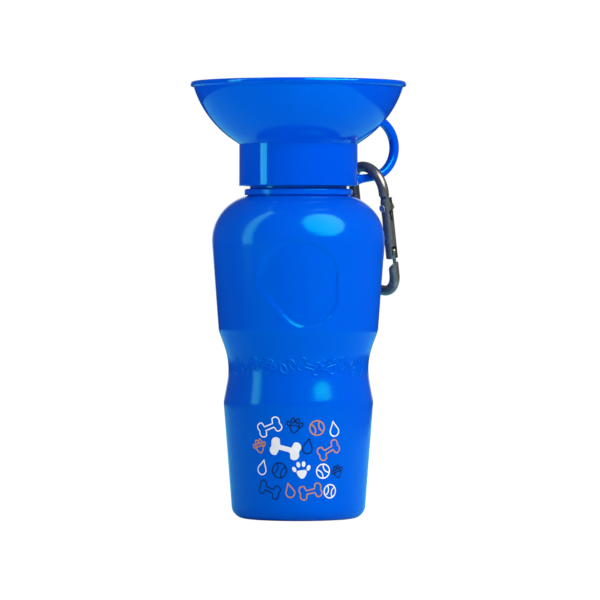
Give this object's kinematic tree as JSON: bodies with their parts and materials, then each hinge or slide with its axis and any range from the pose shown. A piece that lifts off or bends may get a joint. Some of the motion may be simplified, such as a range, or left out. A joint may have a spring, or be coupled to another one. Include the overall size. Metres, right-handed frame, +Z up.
{
  "type": "dog travel water bottle",
  "caption": "Travel water bottle for dogs: soft waisted squeeze bottle under a screw-on drinking bowl with a twist valve, a carrying loop and a wire-gate carabiner.",
  "frame": {"origin": "centre of the base, on the surface that the bottle stands on", "axes": "+Z up through the bottle towards the bowl, front with the thumb panel towards -Y, carabiner on the +X side"},
  "size_m": [0.108, 0.108, 0.2182],
  "materials": {
    "bottle": "satin, faintly translucent blow-moulded polyethylene",
    "bowl": "glossy moulded polypropylene",
    "insert": "plain moulded polypropylene",
    "seal": "soft silicone",
    "tube": "clear polyethylene tube",
    "carabiner": "anodised, glossy",
    "steel": "bright"
  },
  "bodies": {
    "bottle": {"squeeze_bottle": "bottle"},
    "head": {"neck_insert": "insert", "insert_gasket": "seal", "spigot_seal": "seal", "valve_plug": "seal", "dip_tube": "tube"},
    "collar_seal": {"collar_gasket": "seal"},
    "bowl": {"bowl": "bowl", "bowl_collar": "bowl"},
    "carabiner": {"carabiner_frame": "carabiner"},
    "gate": {"carabiner_gate": "carabiner", "gate_rivet": "steel", "gate_spring": "steel"},
    "plunger": {"gate_plunger": "steel"}
  },
  "joints": [
    {"name": "head_lift", "type": "slide", "parent": "bottle", "child": "head", "axis": [0, 0, 1], "range_m": [0, 0.18]},
    {"name": "bowl_rise", "type": "slide", "parent": "head", "child": "collar_seal", "axis": [0, 0, 1], "range_m": [0, 0.00725]},
    {"name": "bowl_turn", "type": "hinge", "parent": "collar_seal", "child": "bowl", "pos_m": [0, 0, 0.1867], "axis": [0, 0, 1], "range_deg": [0, 540]},
    {"name": "carabiner_swing", "type": "hinge", "parent": "bowl", "child": "carabiner", "pos_m": [0.0348, 0.02091, 0.17048], "axis": [0.7449, 0.625, 0.2334], "range_deg": [-75, 60]},
    {"name": "gate_open", "type": "hinge", "parent": "carabiner", "child": "gate", "pos_m": [0.04452, 0.01493, 0.15548], "axis": [0.7449, 0.625, 0.2334], "range_deg": [0, 28], "stiffness_Nm_per_rad": 0.1, "springref_deg": -22.92},
    {"name": "plunger_press", "type": "slide", "parent": "gate", "child": "plunger", "axis": [0.1049, 0.2358, -0.9661], "range_m": [0, 0.0005], "deforming": ["gate_spring"]}
  ],
  "couplings": [
    {"joint": "bowl_rise", "follows": "bowl_turn", "m_per_rad": 0.00076394},
    {"joint": "plunger_press", "follows": "gate_open", "m_per_rad": 0.00092083}
  ]
}
